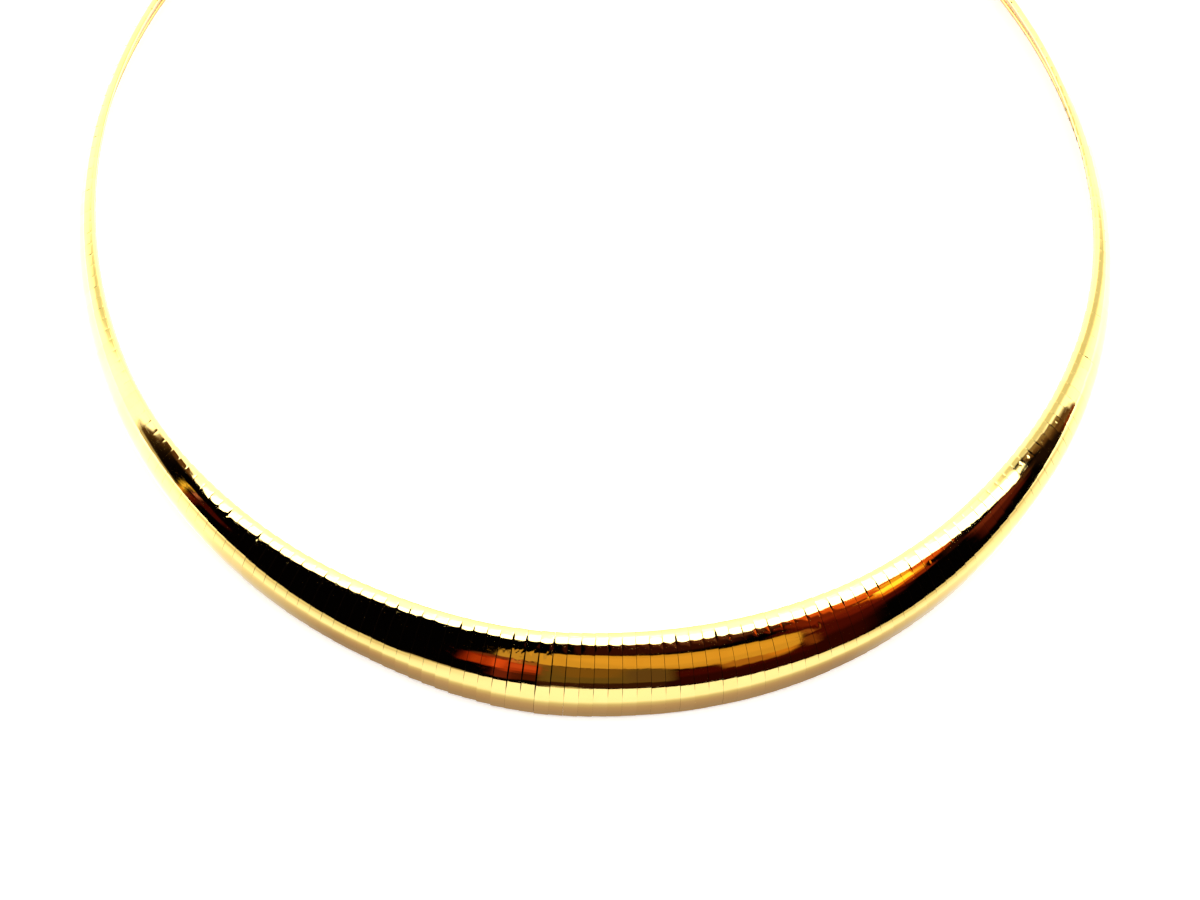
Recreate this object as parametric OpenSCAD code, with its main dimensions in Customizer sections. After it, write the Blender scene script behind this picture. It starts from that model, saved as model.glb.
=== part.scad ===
// Graduated domed omega necklace: a closed collar of narrow domed plates, each folded at
// its two edges, set side by side along a flat ribbon, and fastened at the back.
// It lies on its lower edge. Millimetres, +Z up, front at -Y, base at z = 0.

/* [Collar] */
// Half width of the loop, from the middle to the middle of the band at a side
loop_half_w = 63.7; // [55:0.1:85]
// Half depth of the loop, from the middle to the middle of the band at the front
loop_half_d = 65.6; // [55:0.1:85]
// Length left for the clasp at the back
clasp_room = 13; // [10:0.5:18]

/* [Band] */
// Width of the band at the front
front_w = 10.95; // [6:0.05:13]
// Width of the band beside the clasp
back_w = 4.2; // [3.4:0.1:6]
// How fast the band narrows away from the front
taper = 3.0; // [1:0.1:5]
// How far the dome's face leans up at the front, in degrees
front_lean = 38; // [10:1:50]
// How far the dome's face leans up at the back, in degrees
back_lean = 13; // [0:1:25]
// How fast the lean falls off away from the front
lean_falloff = 1.8; // [0.8:0.1:4]

/* [Plates] */
// Plates in each of the seven stretches of the band
plates_per_stretch = 35; // [20:1:45]
// Gap at each seam between two plates
seam = 0.12; // [0.08:0.01:0.2]
// Half of the angle that the dome turns through from edge to edge, in degrees
dome_half = 44; // [30:1:55]
// Radius of the folded edge of a plate
rim_r = 0.45; // [0.35:0.05:0.6]
// Length of the lip that each edge folds in behind the plate
lip = 0.75; // [0.4:0.05:1]

/* [Clasp] */
// How much wider and thicker the clasp is than the band's end, on each side
clasp_over = 0.3; // [0.1:0.05:0.6]
// Length of the collar at each end of the clasp
clasp_collar = 2.2; // [1.5:0.1:3]

/* [Hidden] */
$fn = 64;

gold = [0.90, 0.74, 0.36];

rim_in = 0.35;            // centre of the folded edge, behind the dome's chord
web = 0.45;               // depth of the ribbon behind the dome's chord
crease = 0.2;             // the dome stops this far inside the band's edge
half_stretches = 3.5;     // stretches on each side of the middle of the front

// Half of the loop's length, from the mean radius and the ellipse's flattening
mean_r = (loop_half_w + loop_half_d) / 2;
flat = (loop_half_d - loop_half_w) / (2 * mean_r);
half_len = PI * mean_r * (1 + flat * flat / 4);
n_half = half_stretches * plates_per_stretch;
pitch = (half_len - clasp_room / 2) / n_half;

// Ellipse angle from the front for a length s along the loop
function turn(s) = let (q = s / half_len * 180) q + flat / 2 * sin(2 * q) * 180 / PI;
// Share of the front's size that is left at ellipse angle q
function share(q, p) = pow((1 + cos(q)) / 2, p);
function width(q) = back_w + (front_w - back_w) * share(q, taper);
function lean(q) = back_lean + (front_lean - back_lean) * share(q, lean_falloff);
// Heading of the loop's outward normal at ellipse angle q, from +X
function heading(q) = atan2(-cos(q) / loop_half_d, sin(q) / loop_half_w);
// Height of the chord's middle, with the lower folded edge standing on z = 0
function stand(w, c) = (w / 2 - rim_r) * cos(c) + rim_in * sin(c) + rim_r;
// How far the dome rises over its chord
function dome_r(w) = (w / 2 - crease) / sin(dome_half);
function dome_rise(w) = dome_r(w) * (1 - cos(dome_half));

// The clasp's half height and half depth, and how far its middle is from the chord
bar_h = back_w / 2 + clasp_over;
bar_d = (rim_in + rim_r + dome_rise(back_w)) / 2 + clasp_over;
bar_n = (dome_rise(back_w) - rim_in - rim_r) / 2;
bar_r = 0.7;              // radius along the clasp's edges
collar_over = 0.15;       // the collars stand this far out of the clasp
collar_reach = cos(back_lean) + sin(back_lean); // how far that reaches down and out
// The band's end is lifted to the clasp's middle, and the lift dies out forwards
clasp_lift = (bar_h - bar_r) * cos(back_lean) + (bar_d - bar_r) * sin(back_lean)
    + bar_r + collar_over * collar_reach - bar_n * sin(back_lean) - stand(back_w, back_lean);
function lift(q) = stand(width(q), lean(q)) + clasp_lift * pow((1 - cos(q)) / 2, 5);

// How far the front's dome and the clasp reach beyond the loop's middle line
front_out = dome_r(front_w) * (1 - cos(dome_half) * cos(front_lean));
sag = pow(clasp_room, 2) / 24 / mean_r;   // mean drop of the loop along the clasp
clasp_out = bar_n * cos(back_lean) + (bar_h - bar_r) * sin(back_lean)
    + (bar_d - bar_r) * cos(back_lean) + bar_r + collar_over * collar_reach - sag;
to_middle = (front_out - clasp_out) / 2;

// Stands what is drawn at x = 0 on the loop at ellipse angle q, height z
module on_loop(q, z) {
    translate([loop_half_w * sin(q), to_middle - loop_half_d * cos(q), z])
        rotate([0, 0, heading(q)]) children();
}

// Draws a flat outline (x outward, y up) across the loop, leaning back by c
module across(c, length) {
    rotate([0, -c, 0]) rotate([90, 0, 0])
        linear_extrude(height = length, center = true) children();
}

// Outline of one plate, w wide: dome, ribbon, folded edges and lips
module plate_outline(w) {
    a = w / 2 - crease;
    r = dome_r(w);
    e = w / 2 - rim_r;
    intersection() {
        translate([-r * cos(dome_half), 0]) circle(r = r);
        translate([0, -a]) square([a, 2 * a]);
    }
    translate([-web, -e]) square([web + 0.1, 2 * e]);
    for (s = [-1, 1]) {
        translate([-rim_in, s * e]) circle(r = rim_r);
        translate([-rim_in - rim_r, s > 0 ? e - lip : -e]) square([rim_r, lip]);
    }
}

// Keeps what lies between two upright seam planes, long apart, that fan out by fan
module between(long, fan) {
    half = (long - seam) / 2;
    near = half - 9 * tan(fan);
    far = half + 9 * tan(fan);
    intersection() {
        children();
        linear_extrude(height = 2 * front_w, center = true)
            polygon([[-9, -near], [9, -far], [9, far], [-9, near]]);
    }
}

// One plate between the seams at lengths s0 and s1 along the loop
module plate(s0, s1) {
    q = turn((s0 + s1) / 2);
    long = s1 - s0;
    fan = (heading(turn(s1)) - heading(turn(s0))) / 2;
    on_loop(q, lift(q)) between(long, fan)
        across(lean(q), long * 1.5) plate_outline(width(q));
}

// The ribbon where it crosses the seam at length s along the loop
module thread(s) {
    q = turn(s);
    w = width(q);
    on_loop(q, lift(q))
        across(lean(q), 0.8) translate([-web + 0.1, -w * 0.3]) square([0.45, w * 0.6]);
}

// Stretch number k of the band, counted from the front, on side -1, 0 or 1
module stretch(k, side) {
    n = plates_per_stretch;
    first = (k - 0.5) * n * pitch;
    mirror([side < 0 ? 1 : 0, 0, 0]) color(gold) union() {
        for (i = [0 : n - 1]) plate(first + i * pitch, first + (i + 1) * pitch);
        for (i = [1 : n - 1]) thread(first + i * pitch);
    }
}

module band_front() { stretch(0, 0); }
module band_front_right() { stretch(1, 1); }
module band_side_right() { stretch(2, 1); }
module band_back_right() { stretch(3, 1); }
module band_front_left() { stretch(1, -1); }
module band_side_left() { stretch(2, -1); }
module band_back_left() { stretch(3, -1); }

// Outline of the clasp, grown by over: an upright bar with rounded edges
module bar_outline(over) {
    h = bar_h + over - bar_r;
    d = bar_d + over - bar_r;
    translate([bar_n, 0]) {
        square([2 * d + 2 * bar_r, 2 * h], center = true);
        square([2 * d, 2 * h + 2 * bar_r], center = true);
        for (x = [-d, d], y = [-h, h]) translate([x, y]) circle(r = bar_r);
    }
}

// The clasp: one plain bar with a collar at each end
module clasp() {
    half_turn = turn(half_len - clasp_room / 2);
    fan = heading(180) - heading(half_turn);
    color(gold) on_loop(180, lift(180)) translate([-sag, 0, 0])
        between(clasp_room, fan) {
            across(back_lean, clasp_room * 1.5) bar_outline(0);
            difference() {
                across(back_lean, clasp_room * 1.5) bar_outline(collar_over);
                cube([20, clasp_room - 2 * clasp_collar, 20], center = true);
            }
        }
}

band_front();
band_front_left();
band_side_left();
band_back_left();
band_front_right();
band_side_right();
band_back_right();
clasp();
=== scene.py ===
import math

import bpy
import numpy as np
from mathutils import Matrix, Vector


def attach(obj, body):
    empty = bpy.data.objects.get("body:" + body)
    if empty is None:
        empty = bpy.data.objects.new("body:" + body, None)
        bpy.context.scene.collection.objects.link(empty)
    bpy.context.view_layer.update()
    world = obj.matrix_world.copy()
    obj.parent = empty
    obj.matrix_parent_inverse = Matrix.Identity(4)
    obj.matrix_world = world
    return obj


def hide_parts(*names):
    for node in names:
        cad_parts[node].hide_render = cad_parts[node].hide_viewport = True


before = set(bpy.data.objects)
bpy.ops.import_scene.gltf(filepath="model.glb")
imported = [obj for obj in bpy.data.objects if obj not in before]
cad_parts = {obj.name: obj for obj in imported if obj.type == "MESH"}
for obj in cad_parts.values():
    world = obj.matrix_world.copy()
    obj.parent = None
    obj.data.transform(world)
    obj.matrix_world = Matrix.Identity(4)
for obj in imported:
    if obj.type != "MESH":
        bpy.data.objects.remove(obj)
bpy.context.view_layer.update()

MM = 0.001

# ---------------------------------------------------------------- sizes, as in the part's source
LW, LD, CLASP_ROOM = 63.7, 65.6, 13.0
FRONT_W, BACK_W, TAPER = 10.95, 4.2, 3.0
FRONT_LEAN, BACK_LEAN, FALLOFF = 38.0, 13.0, 1.8
PER_STRETCH = 35
SEAM = 0.12
SEEN_SEAM = 0.035   # the real plates nearly touch
DOME_HALF = math.radians(44.0)
RIM_R, RIM_IN, CREASE, LIP = 0.45, 0.35, 0.2, 0.75
CLASP_OVER, COLLAR_LEN, COLLAR_OVER, BAR_R = 0.3, 2.2, 0.15, 0.7

MEAN_R = (LW + LD) / 2
FLAT = (LD - LW) / (2 * MEAN_R)
HALF_LEN = math.pi * MEAN_R * (1 + FLAT * FLAT / 4)
N_HALF = 3.5 * PER_STRETCH
PITCH = (HALF_LEN - CLASP_ROOM / 2) / N_HALF


def rad(d):
    return d * math.pi / 180.0


def turn(s):
    q = s / HALF_LEN * math.pi
    return q + FLAT / 2 * math.sin(2 * q)


def share(q, p):
    return ((1 + math.cos(q)) / 2) ** p


def width(q):
    return BACK_W + (FRONT_W - BACK_W) * share(q, TAPER)


def lean(q):
    return rad(BACK_LEAN + (FRONT_LEAN - BACK_LEAN) * share(q, FALLOFF))


def heading(q):
    return math.atan2(-math.cos(q) / LD, math.sin(q) / LW)


def stand(w, c):
    return (w / 2 - RIM_R) * math.cos(c) + RIM_IN * math.sin(c) + RIM_R


def dome_r(w):
    return (w / 2 - CREASE) / math.sin(DOME_HALF)


def dome_rise(w):
    return dome_r(w) * (1 - math.cos(DOME_HALF))


BAR_H = BACK_W / 2 + CLASP_OVER
BAR_D = (RIM_IN + RIM_R + dome_rise(BACK_W)) / 2 + CLASP_OVER
BAR_N = (dome_rise(BACK_W) - RIM_IN - RIM_R) / 2
C_BACK = rad(BACK_LEAN)
COLLAR_REACH = math.cos(C_BACK) + math.sin(C_BACK)
CLASP_LIFT = ((BAR_H - BAR_R) * math.cos(C_BACK) + (BAR_D - BAR_R) * math.sin(C_BACK)
              + BAR_R + COLLAR_OVER * COLLAR_REACH - BAR_N * math.sin(C_BACK) - stand(BACK_W, C_BACK))
FRONT_OUT = dome_r(FRONT_W) * (1 - math.cos(DOME_HALF) * math.cos(rad(FRONT_LEAN)))
SAG = CLASP_ROOM ** 2 / 24 / MEAN_R
CLASP_OUT = (BAR_N * math.cos(C_BACK) + (BAR_H - BAR_R) * math.sin(C_BACK)
             + (BAR_D - BAR_R) * math.cos(C_BACK) + BAR_R + COLLAR_OVER * COLLAR_REACH - SAG)
TO_MIDDLE = (FRONT_OUT - CLASP_OUT) / 2


def lift(q):
    return stand(width(q), lean(q)) + CLASP_LIFT * ((1 - math.cos(q)) / 2) ** 5


# ---------------------------------------------------------------- how the worn collar is bent
def through(knots, x):
    """Smooth curve through the knots (Catmull-Rom), flat outside them."""
    if x <= knots[0][0]:
        return knots[0][1]
    if x >= knots[-1][0]:
        return knots[-1][1]
    i = max(k for k in range(len(knots) - 1) if knots[k][0] <= x)
    x0, y0 = knots[i]
    x1, y1 = knots[i + 1]
    xm, ym = knots[max(i - 1, 0)]
    xp, yp = knots[min(i + 2, len(knots) - 1)]
    h = x1 - x0
    m0 = (y1 - ym) / (x1 - xm) * h
    m1 = (yp - y0) / (xp - x0) * h
    t = (x - x0) / h
    return ((2 * t ** 3 - 3 * t ** 2 + 1) * y0 + (t ** 3 - 2 * t ** 2 + t) * m0
            + (-2 * t ** 3 + 3 * t ** 2) * y1 + (t ** 3 - t ** 2) * m1)


# ellipse angle from the front in degrees (left is negative) -> change in degrees or mm
BENT_LEAN = [(-180, 0), (-100, 0), (-66, -2.5), (-52, -1.1), (-40, 0.5), (-30, 0.6), (-22, 0), (-6, 0), (2, 0.6),
             (12, 0.9), (22, 0.9), (32, 0.8), (44, 1.2), (58, 1.8), (75, -0.4), (100, 0), (180, 0)]
BENT_WIDTH = [(-180, 0), (-100, 0.19), (-66, -0.05), (-52, -0.08), (-40, -0.35), (-30, -0.35), (-22, -0.09),
              (-14, 0.11), (-6, -0.03), (2, -0.15), (12, -0.325), (22, -0.535), (32, -0.50), (44, -0.395),
              (58, -0.14), (75, -0.39), (100, -0.31), (180, 0)]
BENT_OUT = [(-180, 0), (-90, -0.04), (-80, 0.0), (-66, 0.22), (-52, 0), (-40, -0.16), (-30, -0.25), (-22, 0.04), (-14, 0.26),
            (-6, 0.03), (2, -0.05), (12, -0.03), (22, 0), (32, -0.07), (44, -0.13), (58, 0.26), (75, 0.34),
            (100, -0.3), (180, 0)]
# how much steeper the dome's lower face stands there
BULGE = [(-180, 0), (-66, 0), (-52, 1.6), (-40, 2.8), (-30, 3.2), (-22, 0.8), (-14, -0.6), (-6, -0.35), (2, 1.4),
         (12, 4.3), (22, 7.9), (32, 8.4), (44, 6.7), (58, 3), (75, 0), (180, 0)]


# where the dome turns into its upper shoulder, as a dome angle in degrees
SHOULDER = [(-180, 40), (-62, 38), (-56, 39), (-52, 36), (-44, 34.5), (-36, 35), (-28, 36.5), (-20, 36.5), (-8, 36),
            (0, 35.5), (8, 34.5), (16, 33), (20, 32), (30, 31), (44, 32), (50, 31.5), (56, 27), (180, 27)]
# seams that stand open a little at the upper shoulder: seam number -> how far each plate's corner is drawn in, mm
OPEN_TOP = {-35: 0.10, -32: 0.11, -28: 0.05, -26: 0.06, -24: 0.04, -23: 0.04, -22: 0.04, -20: 0.07, -19: 0.06,
            -18: 0.05, -15: 0.10, -14: 0.07, -11: 0.10, -10: 0.11, -8: 0.09, -6: 0.05, 1: 0.09, 4: 0.11, 11: 0.06,
            13: 0.09, 14: 0.09, 16: 0.08, 17: 0.07, 20: 0.07, 33: 0.09, 34: 0.09, 35: 0.07}
# seams that stand open along the face, where the collar was once kinked
OPEN_FACE = {-11: 0.075, -10: 0.085, -9: 0.075, -8: 0.05, -12: 0.03, -7: 0.02}
# plates bent there: plate number -> extra lean, yaw in degrees, mm inward
KINKED = {-12: (0.3, -0.1, 0.0), -11: (0.5, 0.25, 0.02), -10: (-0.6, -0.2, 0.0), -9: (0.35, 0.2, 0.015), -8: (-0.2, -0.1, 0.0)}
# sharp little creases left by the kink: plate -> dome angle at its left end and right end, depth in mm
CREASED = {-11: [(25.0, 28.0, 0.012), (19.0, 17.5, 0.003)], -10: [(30.5, 29.5, 0.012), (26.0, 24.0, 0.004)],
           -9: [(30.0, 27.5, 0.012)], -12: [(26.0, 25.2, 0.003)]}
# round dents: plate -> (place along it -1..1, dome angle, radius mm, depth mm)
DENTS = {-11: [(0.1, 21.5, 0.60, 0.009), (-0.6, 27.0, 0.45, 0.007)], -10: [(0.2, 26.0, 0.65, 0.010), (-0.4, 21.5, 0.45, 0.005)],
         -9: [(-0.4, 25.5, 0.60, 0.008), (0.6, 22.5, 0.40, 0.004)], -17: [(0.3, 30.0, 0.4, 0.006)],
         32: [(0.35, 35.0, 0.22, 0.018)], 33: [(0.1, 32.5, 0.20, 0.018)], 35: [(-0.2, 30.0, 0.25, 0.010)],
         37: [(0.2, 27.5, 0.25, 0.010)], 21: [(0.0, 24.0, 0.30, 0.008)], 11: [(0.2, 21.5, 0.35, 0.010)]}


# ---------------------------------------------------------------- one plate

def plate_outline(w, bulge=0.0, segs=12):
    """Closed outline of a plate's section: points (n, v), their outward normals, a tag and a dome angle for each.
    n is outward from the chord, v along it upward. Tags: dome angle share -1..1, 2 bead, 3 back."""
    r = dome_r(w)
    cx = -r * math.cos(DOME_HALF)
    e = w / 2 - RIM_R
    # the folded edge runs on from the dome along the line that touches both
    dx, dy = -RIM_IN - cx, e
    d = math.hypot(dx, dy)
    t_x = math.atan2(dy, dx) - math.acos(min((r - RIM_R) / d, 1.0))
    half = []
    for i in range(segs + 1):
        t = t_x * i / segs
        half.append((cx + r * math.cos(t), r * math.sin(t), i / segs))
    p0, p1 = half[-1], (-RIM_IN + RIM_R * math.cos(t_x), e + RIM_R * math.sin(t_x))
    for f in (1 / 3, 2 / 3):
        half.append((p0[0] + (p1[0] - p0[0]) * f, p0[1] + (p1[1] - p0[1]) * f, 2))
    folds = 16 if segs > 20 else 10
    for i in range(folds + 1):
        b = t_x + (math.pi - t_x) * i / folds
        half.append((-RIM_IN + RIM_R * math.cos(b), e + RIM_R * math.sin(b), 2))
    back = -RIM_IN - RIM_R
    half.append((back, e - 0.30, 3))
    half.append((back, e - LIP + 0.10, 3))
    half.append((back + 0.03, e - LIP + 0.03, 3))
    half.append((back + 0.10, e - LIP, 3))
    half.append((-0.44, e - LIP, 3))
    half.append((-0.40, e - LIP - 0.04, 3))
    top = half
    low = [(n, -v, -g if g <= 1 else g) for n, v, g in reversed(half[1:])]
    pts = top + low
    P = np.array([(n, v) for n, v, g in pts])
    G = np.array([g for n, v, g in pts])
    t = np.arctan2(P[:, 1], P[:, 0] - cx)
    if bulge:
        x = (np.degrees(t) + 44.0) / 58.0
        swell = np.where((x > 0) & (x < 1) & (G <= 1), (1 - np.cos(2 * np.pi * x)) * rad(58) / (2 * np.pi), 0.0)
        P = P + (rad(bulge) * r * swell)[:, None] * np.stack([np.cos(t), np.sin(t)], 1)
    T = np.roll(P, -1, 0) - np.roll(P, 1, 0)
    T /= np.linalg.norm(T, axis=1)[:, None]
    N = np.stack([T[:, 1], -T[:, 0]], 1)
    return P, N, G, np.degrees(t)


EDGE = 0.010       # broken edge along a plate's ends


def hump(x):
    """1 at 0, falling smoothly to 0 at -1 and 1."""
    return np.where(np.abs(x) < 1, 0.5 + 0.5 * np.cos(np.pi * np.clip(x, -1, 1)), 0.0)


def seam_traits(i):
    """Gap and corner of seam i, between plates i-1 and i: half gap, opening at the shoulder, pinch depth."""
    rng = np.random.default_rng(7000 + i)
    gap = SEEN_SEAM / 2 * rng.uniform(0.7, 1.3) * (1 - 0.75 * min(max((abs(i) - 34) / 14, 0), 1))
    corner = 1.3 * OPEN_TOP.get(i, abs(rng.normal(0.016, 0.014)))
    pinch = max(rng.normal(0.016, 0.008), 0.0) + 0.10 * OPEN_TOP.get(i, 0.0)
    pinch *= 0.15 + 0.85 * min(max((14 - i) / 9, 0), 1) * min(max((i + 38) / 6, 0), 1)
    return gap, corner, pinch, OPEN_FACE.get(i, 0.0)


def plate(k, V, F, A, B):
    """Adds plate number k (0 at the front's middle, right is positive): points, faces, tone per point, and per face
    1 for its cut ends."""
    rng = np.random.default_rng(4100 + k)
    s0, s1 = (k - 0.5) * PITCH, (k + 0.5) * PITCH
    q = turn((s0 + s1) / 2)
    qd = math.degrees(q)
    long_ = s1 - s0
    fan = (heading(turn(s1)) - heading(turn(s0)))
    fan = math.atan2(math.sin(fan), math.cos(fan)) / 2
    w = width(q) + through(BENT_WIDTH, qd)
    c = lean(q) + rad(through(BENT_LEAN, qd))
    out = through(BENT_OUT, qd)
    k_lean, k_yaw, k_in = KINKED.get(k, (0.0, 0.0, 0.0))
    j_lean, j_yaw, j_out = rng.normal(0, rad(0.2)), rng.normal(0, rad(0.1)), -abs(rng.normal(0, 0.006))
    c += j_lean + rad(k_lean)
    yaw = j_yaw + rad(k_yaw)
    fine = abs(k) <= 44
    P, N, G, T = plate_outline(w, through(BULGE, qd), 30 if fine else 12)
    r = dome_r(w)
    face = G <= 1
    t_s = through(SHOULDER, qd)
    gl, cl_, pl, fl = seam_traits(k)
    gr, cr_, pr, fr = seam_traits(k + 1)
    pl, pr = min(pl, 0.0032 * r), min(pr, 0.0032 * r)
    # how far each end stands back from the seam's middle plane, along the outline
    shoulder = np.where(face | (G == 2), hump((T - (t_s + 1.5)) / 6.5), 0.0) * (T > 0)
    # the seams close towards the lower edge
    shut = np.clip((T + 16.0) / 9.0, 0, 1)
    tight = 0.07 + 0.93 * shut * shut * (3 - 2 * shut) * (G <= 1) + 0.25 * (G > 1) * (T > 0)
    open_face = np.where(T > t_s - 2, 0.5, 1.0) * np.where(face, hump((T - 12.0) / 34.0), 0.0)
    end_l = gl * tight + cl_ * shoulder + fl * open_face
    end_r = gr * tight + cr_ * shoulder + fr * open_face
    edge = EDGE * np.maximum(tight, 0.2)
    # pinched shoulders: the dome sinks a little towards its upper corners
    rise = np.where(face, np.clip((T - (t_s - 17.0)) / 26.0, 0, 1), 0.0)
    own = rng.normal(0, 0.004) * np.sin(np.pi * rise) * (T > 0)
    pinch_t = hump((T - (t_s - 3.2)) / 4.6) * face
    half = long_ / 2
    u_in = [0.93, 0.84, 0.70, 0.50, 0.25] if fine else [0.85, 0.45]
    if k in DENTS or k in CREASED or abs(k - 33) < 4:
        u_in = [0.95, 0.9, 0.84, 0.77, 0.70, 0.62, 0.54, 0.45, 0.36, 0.27, 0.18, 0.09]
    ends = [(0.0, 1.0), (1.0, 0.0)]
    rows_def = [(-1, t_, d_) for t_, d_ in ends] + [(-u, None, 0.0) for u in u_in] + [(0.0, None, 0.0)]
    rows_def += [(u, None, 0.0) for u in reversed(u_in)] + [(1, t_, d_) for t_, d_ in reversed(ends)]
    h = heading(q)
    base_z = stand(w, c) + CLASP_LIFT * ((1 - math.cos(q)) / 2) ** 5
    ch, sh = math.cos(h), math.sin(h)
    cc, sc = math.cos(c), math.sin(c)
    first = len(V)
    m = len(P)
    rows = []
    for u, t_, d_ in rows_def:
        back_off = end_l if u < 0 else end_r
        if t_ is None:
            y = u * (half - back_off)
            y = np.sign(u) * np.minimum(np.abs(y), half - back_off - EDGE * 1.5) if u else np.zeros(m)
        else:
            y = u * (half - back_off - t_ * edge)
        uu = np.abs(y) / half
        pin = pl if u < 0 else pr
        d_ = d_ * edge
        sink = d_ + (pin * pinch_t + 0.003 * face) * np.clip(uu, 0, 1) ** 2.5 + np.where(G == 2, 0.008, 0.0) * uu ** 6 - own
        sink = np.where(face, np.maximum(sink, d_), sink)
        Q = P - N * sink[:, None]
        ys = float(u) if abs(u) <= 1 else 0.0
        deep = np.zeros(m)
        for t0, t1, depth in CREASED.get(k, []):
            mid = t0 + (t1 - t0) * (ys + 1) / 2 + 0.6 * math.sin(7 * ys + k)
            deep += depth * hump((T - mid) * rad(1) * r / 0.17)
        for du, dt, rad_mm, depth in DENTS.get(k, []):
            dist = np.hypot((T - dt) * rad(1) * r, y - du * half) / rad_mm
            deep += depth * hump(dist)
        Q = Q - N * (deep * face)[:, None]
        x = Q[:, 0] * cc - Q[:, 1] * sc + out + j_out - k_in
        z = Q[:, 0] * sc + Q[:, 1] * cc
        yy = y * (1 + x * math.tan(fan) / half)
        X = x * math.cos(yaw) - yy * math.sin(yaw)
        Y = x * math.sin(yaw) + yy * math.cos(yaw)
        rows.append(np.stack([LW * math.sin(q) + X * ch - Y * sh,
                              TO_MIDDLE - LD * math.cos(q) + X * sh + Y * ch,
                              base_z + z], 1))
    W = np.concatenate(rows)
    if W[:, 2].min() < 0.0:
        W[:, 2] -= W[:, 2].min()
    V.extend(W.tolist())
    tone = float(rng.uniform(0, 1))
    A.extend([tone] * len(W))
    n_st = len(rows)
    for a in range(n_st - 1):
        r0, r1 = first + a * m, first + (a + 1) * m
        for j in range(m):
            j2 = (j + 1) % m
            F.append((r0 + j, r1 + j, r1 + j2, r0 + j2))
        B.extend([1 if a in (0, n_st - 2) else 0] * m)
    F.append(tuple(first + j for j in range(m)))
    F.append(tuple(first + (n_st - 1) * m + j for j in reversed(range(m))))
    B.extend([1, 1])


def new_object(name, V, F, attrs=None, sharp=38.0):
    me = bpy.data.meshes.new(name)
    me.from_pydata([(x * MM, y * MM, z * MM) for x, y, z in V], [], F)
    me.update()
    me.validate()
    me.polygons.foreach_set("use_smooth", [True] * len(me.polygons))
    me.set_sharp_from_angle(angle=rad(sharp))
    for key, vals in (attrs or {}).items():
        at = me.attributes.new(key, "FLOAT", "POINT")
        at.data.foreach_set("value", vals)
    ob = bpy.data.objects.new(name, me)
    bpy.context.scene.collection.objects.link(ob)
    return ob


# ---------------------------------------------------------------- the ribbon behind the plates
def weave(s, v, w):
    """Relief of the herringbone ribbon, 0..1, at length s and place v across."""
    pitch_v = 0.62
    x = (v + 40.0 * pitch_v) / pitch_v
    col = np.floor(x)
    fx = x - col
    way = np.where(col % 2 == 0, 1.0, -1.0)
    ph = s / 0.56 + way * (fx - 0.5) * 0.85 + 0.25 * (col % 2)
    fs = ph - np.floor(ph)
    ridge = np.sqrt(np.clip(1 - (2 * fs - 1) ** 2, 0, 1))
    side = np.sqrt(np.clip(1 - (2 * fx - 1) ** 2, 0, 1))
    return ridge ** 0.8 * side ** 0.6


def ribbon(name, ka, kb):
    """The ribbon behind plates ka to kb."""
    sa, sb = (ka - 0.5) * PITCH + 0.1, (kb + 0.5) * PITCH - 0.1
    n_s = int((sb - sa) / 0.15)
    q_mid = turn((sa + sb) / 2)
    n_v = 4 * max(2, int(round((width(q_mid) - 2 * (RIM_R + LIP)) / 0.62)))
    V, F, A = [], [], []
    m = n_v + 3
    for i in range(n_s + 1):
        s = sa + (sb - sa) * i / n_s
        q = turn(s)
        qd = math.degrees(q)
        w = width(q) + through(BENT_WIDTH, qd)
        c = lean(q) + rad(through(BENT_LEAN, qd))
        out = through(BENT_OUT, qd)
        b = w / 2 - RIM_R - LIP - 0.04
        v = np.linspace(-b, b, n_v + 1)
        rel = weave(np.full_like(v, s), v, w)
        edge = np.clip((b - np.abs(v)) / 0.12, 0, 1)
        n = -0.46 - 0.17 * rel * edge
        v = np.concatenate([v, [b, -b]])
        n = np.concatenate([n, [-0.425, -0.425]])
        h = heading(q)
        bz = stand(w, c) + CLASP_LIFT * ((1 - math.cos(q)) / 2) ** 5
        x = n * math.cos(c) - v * math.sin(c) + out
        z = n * math.sin(c) + v * math.cos(c) + bz
        V.extend(np.stack([LW * math.sin(q) + x * math.cos(h),
                           TO_MIDDLE - LD * math.cos(q) + x * math.sin(h), z], 1).tolist())
        A.extend(rel.tolist() + [0.0, 0.0])
    for i in range(n_s):
        r0, r1 = i * m, (i + 1) * m
        for j in range(m):
            j2 = (j + 1) % m
            F.append((r0 + j, r0 + j2, r1 + j2, r1 + j))
    F.append(tuple(reversed(range(m))))
    F.append(tuple(n_s * m + j for j in range(m)))
    return new_object(name, V, F, {"relief": A}, sharp=75.0)


# ---------------------------------------------------------------- the clasp
def clasp_outline(over):
    h, d = BAR_H - BAR_R, BAR_D - BAR_R
    pts = []
    for qx, qy, a0 in ((1, 1, 0), (-1, 1, 90), (-1, -1, 180), (1, -1, 270)):
        for i in range(9):
            a = rad(a0 + 90 * i / 8)
            pts.append((BAR_N + qx * d + (BAR_R + over) * math.cos(a),
                        qy * h + (BAR_R + over) * math.sin(a)))
    return np.array(pts)


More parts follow.
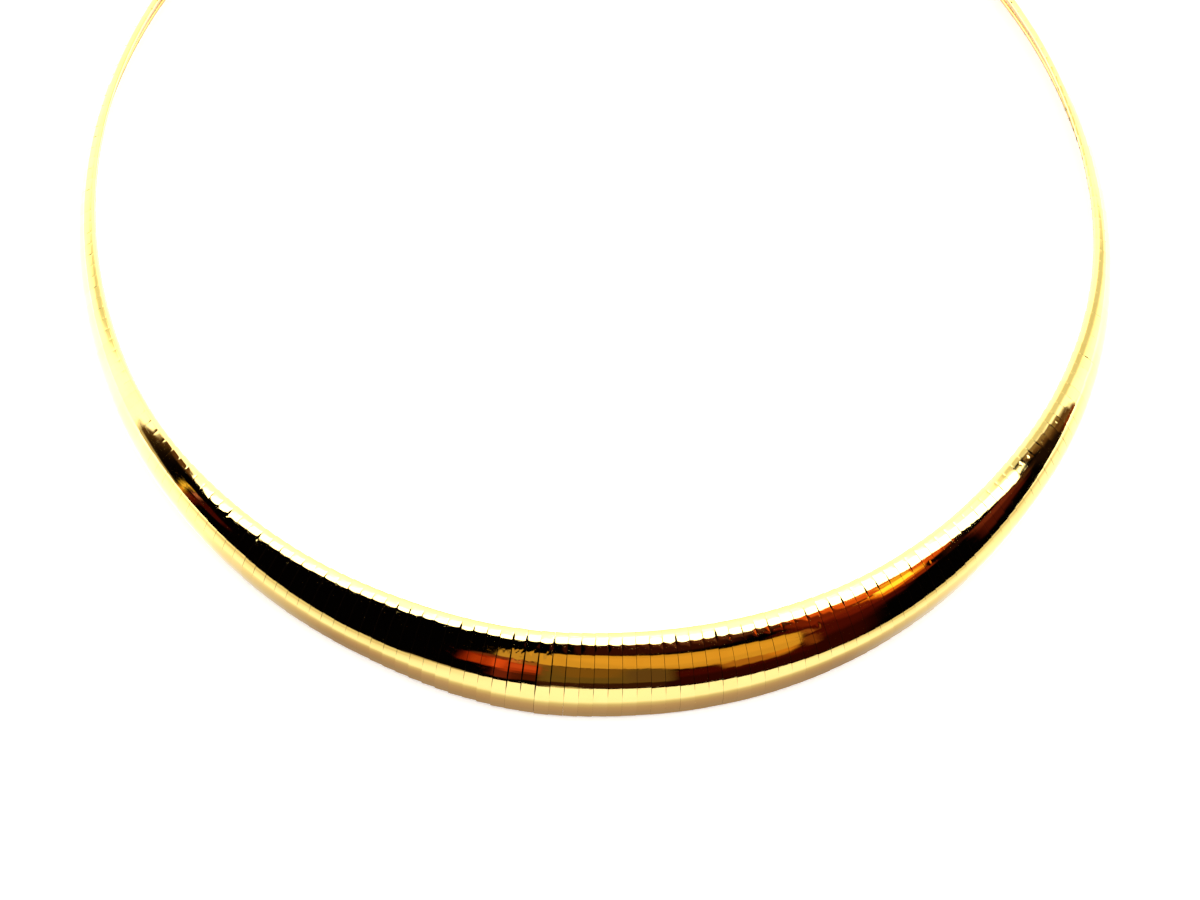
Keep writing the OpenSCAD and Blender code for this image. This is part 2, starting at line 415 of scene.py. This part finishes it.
def make_clasp(name):
    q = math.pi
    h = heading(q)
    fan = heading(math.pi) - heading(turn(HALF_LEN - CLASP_ROOM / 2))
    half = (CLASP_ROOM - SEAM) / 2
    prof = [(0.0, 0.05), (0.02, 0.10), (0.06, 0.14), (0.12, 0.15), (0.20, 0.15), (1.1, 0.15),
            (2.0, 0.15), (2.08, 0.15), (2.14, 0.14), (2.18, 0.10), (2.20, 0.05),
            (2.205, -0.03), (2.26, -0.05), (2.31, -0.03), (2.36, 0.0), (2.45, 0.0),
            (3.6, 0.0), (5.0, 0.0)]
    stations = ([(-(half - t), o) for t, o in prof] + [(0.0, 0.0)]
                + [(half - t, o) for t, o in reversed(prof)])
    V, F = [], []
    bz = lift(math.pi)
    c = C_BACK
    m = len(clasp_outline(0.0))
    for y, over in stations:
        Q = clasp_outline(over)
        x = Q[:, 0] * math.cos(c) - Q[:, 1] * math.sin(c)
        z = np.maximum(Q[:, 0] * math.sin(c) + Q[:, 1] * math.cos(c) + bz, 0.0)
        yy = y * (1 + x * math.tan(fan) / half)
        x = x - SAG
        V.extend(np.stack([x * math.cos(h) - yy * math.sin(h),
                           TO_MIDDLE + LD + x * math.sin(h) + yy * math.cos(h), z], 1).tolist())
    n_st = len(stations)
    for a in range(n_st - 1):
        r0, r1 = a * m, (a + 1) * m
        for j in range(m):
            j2 = (j + 1) % m
            F.append((r0 + j, r1 + j, r1 + j2, r0 + j2))
    F.append(tuple(j for j in range(m)))
    F.append(tuple((n_st - 1) * m + j for j in reversed(range(m))))
    return new_object(name, V, F)


# ---------------------------------------------------------------- materials
def material(name):
    m = bpy.data.materials.new(name)
    m.use_nodes = True
    m.node_tree.nodes.clear()
    return m, m.node_tree.nodes, m.node_tree.links


def node(nodes, kind, **kw):
    n = nodes.new(kind)
    for k, v in kw.items():
        setattr(n, k, v)
    return n


def gold_material(name, base, rough, scratch, dull):
    m, N, L = material(name)
    out = node(N, "ShaderNodeOutputMaterial")
    b = node(N, "ShaderNodeBsdfPrincipled")
    L.new(b.outputs[0], out.inputs[0])
    b.inputs["Metallic"].default_value = 1.0
    tc = node(N, "ShaderNodeTexCoord")
    # wear: slow patches and fine pits
    wear = node(N, "ShaderNodeTexNoise")
    wear.inputs["Scale"].default_value = 260.0
    wear.inputs["Detail"].default_value = 5.0
    wear.inputs["Roughness"].default_value = 0.6
    L.new(tc.outputs["Object"], wear.inputs["Vector"])
    fine = node(N, "ShaderNodeTexNoise")
    fine.inputs["Scale"].default_value = 5200.0
    fine.inputs["Detail"].default_value = 3.0
    L.new(tc.outputs["Object"], fine.inputs["Vector"])
    # hairline scratches, long along the band's own directions
    stretch = node(N, "ShaderNodeMapping")
    stretch.inputs["Scale"].default_value = (900.0, 900.0, 9000.0)
    stretch.inputs["Rotation"].default_value = (0.5, 0.3, 0.2)
    L.new(tc.outputs["Object"], stretch.inputs["Vector"])
    hair = node(N, "ShaderNodeTexNoise")
    hair.inputs["Scale"].default_value = 1.0
    hair.inputs["Detail"].default_value = 4.0
    L.new(stretch.outputs[0], hair.inputs["Vector"])
    hair_r = node(N, "ShaderNodeMapRange")
    hair_r.inputs["From Min"].default_value = 0.56
    hair_r.inputs["From Max"].default_value = 0.72
    L.new(hair.outputs["Fac"], hair_r.inputs["Value"])
    # roughness
    rr = node(N, "ShaderNodeMapRange")
    rr.inputs["From Min"].default_value = 0.3
    rr.inputs["From Max"].default_value = 0.75
    rr.inputs["To Min"].default_value = rough[0]
    rr.inputs["To Max"].default_value = rough[1]
    L.new(wear.outputs["Fac"], rr.inputs["Value"])
    ra = node(N, "ShaderNodeMath", operation="MULTIPLY_ADD")
    ra.inputs[1].default_value = scratch * 0.6
    L.new(hair_r.outputs[0], ra.inputs[0])
    L.new(rr.outputs[0], ra.inputs[2])
    L.new(ra.outputs[0], b.inputs["Roughness"])
    # colour: plate to plate tone and slightly redder worn places
    at = node(N, "ShaderNodeAttribute", attribute_name="tone")
    mixc = node(N, "ShaderNodeMix", data_type="RGBA")
    mixc.inputs["A"].default_value = (*base, 1)
    mixc.inputs["B"].default_value = (base[0] * 0.97, base[1] * 0.955, base[2] * 0.90, 1)
    L.new(at.outputs["Fac"], mixc.inputs["Factor"])
    mixd = node(N, "ShaderNodeMix", data_type="RGBA")
    mixd.inputs["B"].default_value = (base[0] * dull, base[1] * dull * 0.93, base[2] * dull * 0.8, 1)
    wf = node(N, "ShaderNodeMapRange")
    wf.inputs["From Min"].default_value = 0.52
    wf.inputs["From Max"].default_value = 0.78
    wf.inputs["To Max"].default_value = 0.6
    L.new(wear.outputs["Fac"], wf.inputs["Value"])
    L.new(wf.outputs[0], mixd.inputs["Factor"])
    L.new(mixc.outputs["Result"], mixd.inputs["A"])
    L.new(mixd.outputs["Result"], b.inputs["Base Color"])
    # bump: hairlines and pits
    add = node(N, "ShaderNodeMath", operation="MULTIPLY_ADD")
    add.inputs[1].default_value = 0.5
    L.new(fine.outputs["Fac"], add.inputs[0])
    L.new(hair_r.outputs[0], add.inputs[2])
    bump = node(N, "ShaderNodeBump")
    bump.inputs["Strength"].default_value = scratch
    bump.inputs["Distance"].default_value = 0.000004
    L.new(add.outputs[0], bump.inputs["Height"])
    L.new(bump.outputs[0], b.inputs["Normal"])
    return m


def seam_material(name):
    """The cut ends inside the seams: rough, and painted near-black without reflection, as painted shade in the gaps
    between plates.
    """
    m, N, L = material(name)
    out = node(N, "ShaderNodeOutputMaterial")
    b = node(N, "ShaderNodeBsdfPrincipled")
    L.new(b.outputs[0], out.inputs[0])
    # painted shade: no specular reflection on the seam walls, so they stay dark
    b.inputs["Specular IOR Level"].default_value = 0.0
    tc = node(N, "ShaderNodeTexCoord")
    seam_shade_noise = node(N, "ShaderNodeTexNoise")
    seam_shade_noise.inputs["Scale"].default_value = 1800.0
    seam_shade_noise.inputs["Detail"].default_value = 4.0
    L.new(tc.outputs["Object"], seam_shade_noise.inputs["Vector"])
    mc = node(N, "ShaderNodeMix", data_type="RGBA")
    # painted shade in the seams: near-black colours, a little varied by noise
    mc.inputs["A"].default_value = (0.004, 0.002, 0.001, 1)
    mc.inputs["B"].default_value = (0.022, 0.011, 0.004, 1)
    L.new(seam_shade_noise.outputs["Fac"], mc.inputs["Factor"])
    L.new(mc.outputs["Result"], b.inputs["Base Color"])
    mr = node(N, "ShaderNodeMapRange")
    mr.inputs["To Min"].default_value = 0.6
    mr.inputs["To Max"].default_value = 0.9
    L.new(seam_shade_noise.outputs["Fac"], mr.inputs["Value"])
    L.new(mr.outputs[0], b.inputs["Roughness"])
    return m


GOLD = (1.0, 0.76, 0.28)
gold = gold_material("gold_plates", GOLD, (0.02, 0.055), 0.12, 0.93)
gold_seam = seam_material("gold_cut_ends")
gold_woven = gold_material("gold_ribbon", (0.93, 0.70, 0.31), (0.16, 0.30), 0.6, 0.8)
gold_clasp = gold_material("gold_clasp", (0.98, 0.77, 0.36), (0.05, 0.12), 0.3, 0.9)

# ---------------------------------------------------------------- build
GROUPS = [("band_front", -17, 17),
          ("band_front_right", 18, 52), ("band_side_right", 53, 87), ("band_back_right", 88, 122),
          ("band_front_left", -52, -18), ("band_side_left", -87, -53), ("band_back_left", -122, -88)]
for nm, ka, kb in GROUPS:
    V, F, A, B = [], [], [], []
    for k in range(ka, kb + 1):
        plate(k, V, F, A, B)
    ob = new_object(nm + "_plates", V, F, {"tone": A})
    ob.data.materials.append(gold)
    # the cut ends and their broken edges take the near-black seam material, painted shade between the plates
    ob.data.materials.append(gold_seam)
    ob.data.polygons.foreach_set("material_index", B)
    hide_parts(nm)
    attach(ob, "root")
    rb = ribbon(nm + "_ribbon", ka, kb)
    rb.data.materials.append(gold_woven)
    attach(rb, "root")
cl = make_clasp("clasp_bar")
cl.data.materials.append(gold_clasp)
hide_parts("clasp")
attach(cl, "root")

# ---------------------------------------------------------------- camera, as in the photo
F_PX, ELEV, DIST = 2800.0, rad(62.82), 339.0
TX, TY, ROLL, PHI0 = 3.2, -34.0, rad(-4.9), rad(11.8)
fw = Vector((0, math.cos(ELEV), -math.sin(ELEV)))
right = Vector((1, 0, 0))
up = right.cross(fw)
pos = Vector((TX, TY, 0)) - fw * DIST
cr, sr = math.cos(ROLL), math.sin(ROLL)
right2 = right * cr - up * sr
up2 = right * sr + up * cr
unturn = Matrix.Rotation(-PHI0, 3, "Z")
rows = [unturn @ right2, unturn @ up2, unturn @ (-fw)]
cam_m = Matrix((rows[0], rows[1], rows[2])).transposed().to_4x4()
p = unturn @ pos + Vector((0, TO_MIDDLE, 0))
cam_m.translation = p * MM
cam = bpy.data.objects.new("camera", bpy.data.cameras.new("camera"))
cam.matrix_world = cam_m
cam.data.sensor_width = 36.0
cam.data.lens = F_PX * 36.0 / 1200.0
cam.data.clip_start, cam.data.clip_end = 0.01, 20.0
bpy.context.scene.collection.objects.link(cam)
bpy.context.scene.camera = cam

# ---------------------------------------------------------------- floor
me = bpy.data.meshes.new("floor")
S = 3.2
FZ = -0.00003
me.from_pydata([(-S, -S, FZ), (S, -S, FZ), (S, S, FZ), (-S, S, FZ)], [], [(0, 1, 2, 3)])
floor = bpy.data.objects.new("floor", me)
bpy.context.scene.collection.objects.link(floor)
m, N, L = material("floor_paper")


def mth(op, a, b=None, c=None, clamp=False):
    n = node(N, "ShaderNodeMath", operation=op)
    n.use_clamp = clamp
    for i, x in enumerate((a, b, c)):
        if x is None:
            continue
        if isinstance(x, (int, float)):
            n.inputs[i].default_value = float(x)
        else:
            L.new(x, n.inputs[i])
    return n.outputs[0]


out = node(N, "ShaderNodeOutputMaterial")
b = node(N, "ShaderNodeBsdfPrincipled")
b.inputs["Roughness"].default_value = 0.9
b.inputs["Specular IOR Level"].default_value = 0.1
nz = node(N, "ShaderNodeTexNoise")
nz.inputs["Scale"].default_value = 30.0
mr = node(N, "ShaderNodeMapRange")
mr.inputs["To Min"].default_value = 0.70
mr.inputs["To Max"].default_value = 0.72
L.new(nz.outputs["Fac"], mr.inputs["Value"])
cb = node(N, "ShaderNodeCombineColor")
for i in range(3):
    L.new(mr.outputs[0], cb.inputs[i])
L.new(cb.outputs[0], b.inputs["Base Color"])
b.inputs["Emission Color"].default_value = (1.0, 0.995, 0.985, 1)
b.inputs["Emission Strength"].default_value = 0.6


def ramp(fac, stops, mode="LINEAR"):
    n = node(N, "ShaderNodeValToRGB")
    n.color_ramp.interpolation = mode
    L.new(fac, n.inputs[0])
    e = n.color_ramp.elements
    full = [(p_, c_ if isinstance(c_, tuple) else (c_, c_, c_)) for p_, c_ in stops]
    e[0].position, e[0].color = full[0][0], (*full[0][1], 1)
    e[1].position, e[1].color = full[-1][0], (*full[-1][1], 1)
    for p_, c_ in full[1:-1]:
        e.new(p_).color = (*c_, 1)
    return n.outputs[0]


def mix(f, a_, b_, mode="MIX"):
    n = node(N, "ShaderNodeMix", data_type="RGBA", blend_type=mode)
    for sock, x in (("Factor", f), ("A", a_), ("B", b_)):
        if isinstance(x, tuple):
            n.inputs[sock].default_value = (*x, 1)
        elif isinstance(x, (int, float)):
            n.inputs[sock].default_value = x
        else:
            L.new(x, n.inputs[sock])
    return n.outputs["Result"]


# painted light and shade on the paper, seen only by reflection rays in the metal: a painted contact shadow, dim and
# warm, close to the front of the band and inside the ring, and the paper painted bright beside and behind it
geo = node(N, "ShaderNodeNewGeometry")
sp = node(N, "ShaderNodeSeparateXYZ")
L.new(geo.outputs["Position"], sp.inputs[0])
ex = mth("DIVIDE", sp.outputs[0], LW * MM)
ey = mth("DIVIDE", mth("SUBTRACT", sp.outputs[1], TO_MIDDLE * MM), LD * MM)
rr = mth("SQRT", mth("MULTIPLY_ADD", ex, ex, mth("MULTIPLY", ey, ey)))
ahead_s = mth("DIVIDE", mth("MULTIPLY", ey, -1.0), mth("ADD", rr, 0.001))      # 1 at the front, -1 at the back
front01 = mth("MULTIPLY_ADD", ahead_s, 0.5, 0.5, True)
wide = mth("MULTIPLY_ADD", mth("POWER", front01, 2.0), 1.7, 1.55)
off_ring = mth("MULTIPLY", mth("SUBTRACT", rr, 1.0), MEAN_R)
away = mth("SUBTRACT", mth("ABSOLUTE", off_ring), wide)
outside = mth("GREATER_THAN", off_ring, 0.0)
# painted contact shadow: dim and warm within a few mm of the band, wider toward the front
painted_contact_shadow = ramp(mth("MULTIPLY", away, 1 / 14.0, None, True),
            [(0.0, (0.36, 0.28, 0.25)), (0.08, (0.43, 0.32, 0.30)), (0.18, (0.52, 0.40, 0.36)), (0.30, (0.70, 0.62, 0.50)),
             (0.38, (0.95, 0.97, 0.84)), (0.46, (1.25, 1.26, 1.25)), (1.0, (1.3, 1.3, 1.3))])
toward = mth("DIVIDE", mth("MULTIPLY_ADD", ey, -0.989, mth("MULTIPLY", ex, -0.148)), mth("ADD", rr, 0.001))  # 1 a little left of the front
near01 = mth("MULTIPLY_ADD", toward, 0.5, 0.5, True)
# the painted contact shadow is kept only inside the ring and in front, a little left of the front; elsewhere
# outside the paper is painted bright
clear = mth("MULTIPLY", ramp(near01, [(0.0, 1.0), (0.83, 1.0), (0.945, 0.0), (1.0, 0.0)]), outside)
painted_paper_light = mix(clear, painted_contact_shadow, (1.3, 1.3, 1.3))
# painted light: the paper's brightness around the ring, dimmest straight behind and in front, brightest behind at
# the sides
lit = ramp(front01, [(0.0, 0.26), (0.045, 0.34), (0.10, 0.96), (0.28, 0.95), (0.42, 0.78), (0.50, 0.70), (0.62, 0.66), (0.72, 0.52), (0.82, 0.36), (1.0, 0.333)])
lit3 = mix(1.0, lit, (3.0, 3.0, 3.0), "MULTIPLY")
painted_paper_light = mix(1.0, painted_paper_light, lit3, "MULTIPLY")
# painted shade: farther out, at the front left and front right, the paper is painted dim and tan
far = mth("MULTIPLY", mth("SUBTRACT", away, 6.0), 1 / 28.0, None, True)
beside = ramp(front01, [(0.0, 0.0), (0.62, 0.0), (0.74, 1.0), (0.92, 1.0), (0.975, 0.0), (1.0, 0.0)])
painted_paper_light = mix(mth("MULTIPLY", far, mth("MULTIPLY", beside, 0.85)), painted_paper_light, (0.74, 0.66, 0.46))
# this painted light and shade is emitted only for reflection rays; other rays see the plain paper shader
em = node(N, "ShaderNodeEmission")
L.new(painted_paper_light, em.inputs["Color"])
lp = node(N, "ShaderNodeLightPath")
fm = node(N, "ShaderNodeMixShader")
L.new(lp.outputs["Is Glossy Ray"], fm.inputs[0])
L.new(b.outputs[0], fm.inputs[1])
L.new(em.outputs[0], fm.inputs[2])
L.new(fm.outputs[0], out.inputs[0])
floor.data.materials.append(m)

# ---------------------------------------------------------------- the room around, as one lit dome
FINE_AZ = np.arange(-108.0, 118.01, 0.75)
AZ = np.concatenate([np.arange(-180.0, -108.0, 4.0), FINE_AZ, np.arange(121.0, 179.0, 4.0)])
EL = np.concatenate([[-2.0], np.arange(0.0, 84.01, 0.75), np.arange(85.5, 89.0, 1.5)])


def smooth(x, edge, soft):
    t = np.clip((x - edge) / soft + 0.5, 0, 1)
    return t * t * (3 - 2 * t)


def region(az, el, corners, soft=2.0):
    """1 inside the convex shape whose corners (az, el) go round anticlockwise, 0 outside."""
    mask = np.ones_like(az)
    for (x0, y0), (x1, y1) in zip(corners, corners[1:] + corners[:1]):
        nx, ny = -(y1 - y0), x1 - x0
        d = ((az - x0) * nx + (el - y0) * ny) / math.hypot(nx, ny)
        mask = mask * smooth(d, 0.0, soft)
    return mask


def room_colours(az, el):
    """Radiance of the room for a direction, az from the camera's side, both in degrees."""
    ra, re_ = np.radians(az), np.radians(el)
    fwd = np.cos(re_) * np.cos(ra)
    z = np.sin(re_)
    aa = np.abs(az)
    side = np.cos(re_) * np.sin(ra)
    # the walls: bright beside and low behind, tan in the two back corners

    def spot(a0, e0, da, de):
        return np.exp(-((az - a0) / da) ** 2 - ((el - e0) / de) ** 2)

    wall = 2.1 - 0.2 * smooth(aa, 128, 14) * smooth(el, 16, 10) - 0.15 * smooth(aa, 128, 14) * smooth(el, 50, 12)
    wall = wall + (3.3 - wall) * smooth(aa, 138, 9) * (1 - smooth(el, 8, 9))
    tan_ = 0.40 * spot(-109, 28, 12, 16) + 0.40 * spot(117, 28, 12, 18) + 0.50 * spot(118, 57, 7, 7) + 0.5 * spot(-89, 47, 5, 6)
    tan_ = np.clip(tan_, 0, 0.68)
    wall = wall * (1 - 0.90 * tan_)
    # a duller piece of wall straight behind, where only the clasp looks
    behind = smooth(aa, 166, 10) * (1 - smooth(el, 30, 14))
    wall = wall + (0.95 + 0.55 * np.sin(re_ * 3.0) - wall) * behind
    sky = np.empty(az.shape + (3,))
    for i, k in enumerate((1.0, 1.0, 0.98)):
        sky[..., i] = wall * k
    sky[..., 2] *= 1 - 0.30 * tan_
    for colour, corners in (((0.78, 0.76, 0.60), [(119, 9), (127, 13), (108, 55), (100, 53)]),
                            ((0.86, 0.86, 0.68), [(-112, 20), (-100, 20), (-97, 31), (-104, 40), (-118, 44)]),
                            ((0.94, 0.96, 0.84), [(-150, 54), (-116, 38), (-110, 42), (-124, 56), (-146, 63)])):
        sky += (np.array(colour) - sky) * (0.95 * region(az, el, corners, 5.5))[..., None]
    # the long lamp overhead: a band across, nearer on the left
    edge = np.interp(side, [-0.8, -0.6, -0.4, -0.2, -0.1, -0.03, 0.04, 0.10, 0.2, 0.3, 0.4, 0.5, 0.6, 0.7, 0.8],
                     [0.13, 0.115, 0.11, 0.10, 0.09, 0.07, 0.04, 0.02, 0.0, -0.03, -0.055, -0.067, -0.09, -0.095, -0.06])
    strip = smooth(fwd - edge, 0.0, 0.035) * smooth(el, 20, 8)
    sky += (4.6 - sky) * strip[..., None]
    top = np.interp(az, [-92, -88, -84, -80, -77, -75, -73, -71.5, -69.3, -66.5, -63.4, -56.3, -46.5, -29.3, 0,
                         30.2, 48.3, 61.2, 70.1, 74.9, 78.2, 81.9, 85, 88, 90, 95, 98, 101, 106],
                    [44, 46, 47, 46, 44.5, 42.5, 41.5, 43, 50, 57, 63.4, 68.9, 74.0, 78.2, 80.7,
                     78.5, 74.5, 70.0, 64.8, 58.8, 52.2, 45, 35, 27, 31, 39, 44, 48, 52])
    left = np.interp(el, [0, 10, 25, 35, 45, 50], [-82, -82.5, -84.5, -86, -89.5, -92])
    right_ = np.interp(el, [0, 15, 25, 40], [99.5, 99.5, 101, 104])
    dark = smooth(az - left, 0.7, 1.6) * smooth(right_ - az, 0.5, 1.6) * smooth(top - el, 0, 1.3)
    inner = np.zeros(az.shape + (3,))
    inner[..., 0], inner[..., 1], inner[..., 2] = 0.0006, 0.0004, 0.0006

    def put(colour, corners, soft=2.0, part=1.0):
        nonlocal inner
        mk = (region(az, el, corners, soft) * part)[..., None]
        inner = inner + (np.array(colour) - inner) * mk

    # left side of the room: brown edges, a pale foot, two thin bright slits
    inner += np.stack([0.34 * (k_ := np.exp(-np.clip(az - left, 0, 30) / 1.6)), 0.17 * k_, 0.06 * k_], -1)
    put((0.16, 0.07, 0.03), [(-90, 42), (-79, 42), (-79, 52), (-84, 57), (-92, 57)], 5, 0.8)
    put((0.62, 0.52, 0.38), [(-84, -2), (-69, -2), (-71, 3), (-82, 11)], 4, 0.95)
    put((0.80, 0.36, 0.03), [(-70.2, -1), (-68.9, -1), (-69.0, 10), (-70.2, 10)], 0.6)
    put((1.15, 0.72, 0.10), [(-70.2, 9), (-69.1, 9), (-70.6, 22), (-71.2, 28), (-72.2, 27)], 0.6)
    put((0.10, 0.008, 0.003), [(-68.7, 2), (-66.4, 2), (-67.0, 17), (-69.0, 15)], 0.8)
    put((0.62, 0.20, 0.15), [(-69.0, 19), (-68.0, 19), (-69.2, 28), (-70.4, 28)], 0.8)
    put((0.055, 0.004, 0.002), [(-68, 14), (-62, 18), (-62, 25), (-68, 28)], 3, 0.8)
    # ceiling and floor of the dark part
    put((0.030, 0.005, 0.002), [(4, 62), (40, 60), (48, 66), (48, 90), (0, 90)], 6)
    put((0.12, 0.035, 0.020), [(26, 74), (56, 64), (62, 72), (40, 84), (20, 84)], 5, 0.8)
    put((0.024, 0.002, 0.001), [(17, 2), (50, 2), (55, 30), (17, 30)], 6)
    put((0.055, 0.003, 0.001), [(18, 18), (42, 18), (42, 28), (18, 28)], 5, 0.8)
    put((0.06, 0.004, 0.002), [(43, 27), (62, 27), (64, 40), (62, 54), (44, 54)], 4)
    # red column on the left, with its bright strip
    put((0.25, 0.020, 0.003), [(-17.5, 23), (-9, 22), (-9, 42), (-18, 40)], 1.6)
    put((0.70, 0.085, 0.018), [(-12.5, 24), (-10, 24), (-10, 40), (-13, 40)], 1.5)
    put((0.45, 0.05, 0.008), [(-15.5, 24), (-13.5, 24), (-13.5, 37), (-16, 37)], 1.2, 0.9)
    put((0.24, 0.05, 0.02), [(-17, 40), (-9, 42), (-9, 47), (-16, 44)], 2.5, 0.7)
    put((0.14, 0.018, 0.009), [(-11.5, 6), (-7.5, 6), (-7.5, 24), (-11.5, 24)], 1.4)
    put((0.42, 0.045, 0.010), [(-10, 20), (-3, 20), (-3, 38), (-10, 40)], 1.6)
    put((0.62, 0.085, 0.022), [(-9.5, 29), (-4, 29), (-4, 36), (-9.5, 37)], 2.5, 0.7)
    put((0.60, 0.17, 0.05), [(-9.5, 39), (-7.5, 39), (-7.5, 45), (-9.5, 45)], 1.2)
    put((0.38, 0.13, 0.03), [(-8, 38), (-2, 38), (-2, 43), (-8, 43)], 2, 0.8)
    put((0.08, 0.012, 0.003), [(-8, 8), (-3, 8), (-3, 24), (-8, 24)], 2, 0.8)
    # the panel: olive below, amber above, orange at its lower right
    put((0.035, 0.010, 0.004), [(-4, 1), (17, 1), (17, 14), (-4, 14)], 3)
    put((0.135, 0.080, 0.018), [(-3.5, 11), (18, 12), (19, 34), (-3.5, 42)], 2.2)
    put((0.23, 0.10, 0.012), [(0, 22), (9, 22), (12, 38), (-2, 41)], 5, 0.6)
    put((0.11, 0.055, 0.022), [(11, 13), (18, 13), (18, 33), (11, 34)], 3, 0.7)
    put((0.60, 0.50, 0.34), [(-26, -2), (-15, -2), (-16, 2.2), (-25, 2.2)], 1.5, 0.9)
    put((0.55, 0.48, 0.34), [(-3, -2), (4, -2), (3, 2.4), (-2, 2.8)], 1.5, 0.9)
    put((0.40, 0.15, 0.02), [(28, 22), (38, 22), (42, 32), (26, 34)], 2.2)
    put((0.62, 0.23, 0.02), [(36, 24), (40, 25), (42, 33), (35, 33)], 1.6)
    put((0.19, 0.045, 0.008), [(42.5, 23), (44.5, 24), (45.5, 33), (42.5, 33)], 1.0)
    put((0.60, 0.29, 0.035), [(16, 37), (20, 31.6), (29, 28.6), (31, 34)], 1.2)
    put((0.66, 0.35, 0.05), [(-5, 43.6), (36.6, 28.6), (41.8, 28.6), (44.0, 37), (46.2, 45), (44.5, 48.2), (38, 52.5), (24, 57.3), (6, 62.5), (-5, 63)], 0.9)
    put((0.80, 0.42, 0.06), [(14, 40), (42, 35), (43.5, 45), (34, 51), (20, 55), (6, 59), (0, 56)], 5, 0.7)
    put((0.64, 0.36, 0.07), [(-13, 46), (-4.8, 45), (-4.8, 62), (-13, 59)], 1.4, 0.85)
    put((0.30, 0.085, 0.02), [(44.8, 36), (47, 37), (48, 42), (47.5, 46), (46.4, 46)], 1.4)
    # warm things on the right
    put((0.16, 0.012, 0.004), [(53, 36), (63, 34), (62, 50), (50, 52)], 4, 0.8)
    put((0.20, 0.020, 0.004), [(50, 48), (60, 44), (62, 62), (50, 64)], 4, 0.8)
    put((0.72, 0.105, 0.012), [(61, 53), (76, 41), (84, 50), (74, 66), (60, 69)], 4)
    put((0.95, 0.24, 0.04), [(68, 57), (77, 57), (79, 66), (66, 68)], 2.5, 0.8)
    put((0.85, 0.20, 0.012), [(60.5, 37), (69, 38), (74, 47), (61, 49)], 1.8)
    put((0.30, 0.03, 0.004), [(64, 31), (70, 33), (70, 38), (63, 37)], 2, 0.8)
    put((1.5, 1.15, 0.13), [(62.8, 42.5), (70, 41.5), (73.5, 48.5), (65, 50.5)], 1.2)
    put((0.95, 0.46, 0.03), [(68, 50), (74, 49.5), (76, 54), (70, 56)], 1.4)
    put((0.02, 0.004, 0.002), [(71, 30), (76, 30), (79, 41), (75, 42)], 2.5, 0.9)
    put((0.07, 0.008, 0.004), [(75.5, 12), (86, 11), (87, 22), (75.5, 24)], 3)
    put((0.15, 0.024, 0.013), [(77, 22), (86, 20), (86, 30), (77, 32)], 4)
    put((0.10, 0.035, 0.015), [(86, 18), (90, 18), (90, 30), (86, 28)], 2.5, 0.7)
    put((0.014, 0.006, 0.004), [(89, 2), (95, 2), (96, 20), (92, 28), (89, 26)], 2.5, 0.9)
    put((0.17, 0.08, 0.03), [(95, 6), (103, 6), (104, 48), (94, 38)], 3, 0.85)
    put((0.45, 0.32, 0.16), [(97, 24), (104, 24), (106, 48), (98, 44)], 3, 0.6)
    put((0.30, 0.05, 0.01), [(95, -2), (100, -2), (100, 8), (95, 5)], 1.5, 0.7)
    # uneven, streaky things in the dark and on the right wall
    rip = 0.5 + 0.5 * np.sin(el * 2.9 + 1.3 * np.sin(el * 1.1))
    streak = smooth(az, 92, 6) * smooth(106 - az, 0, 3) * smooth(el, 14, 10)
    inner *= (1 - 0.45 * streak * rip)[..., None]
    return sky + (inner - sky) * dark[..., None]


m, N, L = material("room_light")
out = node(N, "ShaderNodeOutputMaterial")
em = node(N, "ShaderNodeEmission")
at = node(N, "ShaderNodeAttribute", attribute_name="light")
L.new(at.outputs["Color"], em.inputs["Color"])
L.new(em.outputs[0], out.inputs[0])
m.cycles.emission_sampling = "NONE"
ga, ge = np.meshgrid(AZ, EL)
col = room_colours(ga, ge)
wa = np.radians(ga) - PHI0                       # the room stands square to the camera, not to the collar
RAD = 2.8
px_ = RAD * np.cos(np.radians(ge)) * np.sin(wa)
py_ = -RAD * np.cos(np.radians(ge)) * np.cos(wa)
pz_ = RAD * np.sin(np.radians(ge))
V = np.stack([px_, py_, pz_], -1).reshape(-1, 3).tolist()
C_ = np.concatenate([col, np.ones(ga.shape + (1,))], -1).reshape(-1, 4).tolist()
na, ne = len(AZ), len(EL)
F = []
for i in range(ne - 1):
    for j in range(na):
        j2 = (j + 1) % na
        F.append((i * na + j, (i + 1) * na + j, (i + 1) * na + j2, i * na + j2))
V.append([0.0, 0.0, RAD])
C_.append([4.2, 4.2, 4.2, 1.0])
for j in range(na):
    F.append(((ne - 1) * na + j, len(V) - 1, (ne - 1) * na + (j + 1) % na))
me = bpy.data.meshes.new("room")
me.from_pydata(V, [], F)
me.update()
ca_ = me.attributes.new("light", "FLOAT_COLOR", "POINT")
ca_.data.foreach_set("color", np.array(C_, np.float32).ravel())
room = bpy.data.objects.new("room", me)
bpy.context.scene.collection.objects.link(room)
room.data.materials.append(m)
room.visible_camera = False

world = bpy.data.worlds.new("backdrop")
bpy.context.scene.world = world
world.use_nodes = True
bg = world.node_tree.nodes["Background"]
bg.inputs["Color"].default_value = (1.0, 1.0, 1.0, 1)
bg.inputs["Strength"].default_value = 1.1

bpy.context.scene.view_settings.view_transform = "Standard"
bpy.context.scene.view_settings.look = "None"
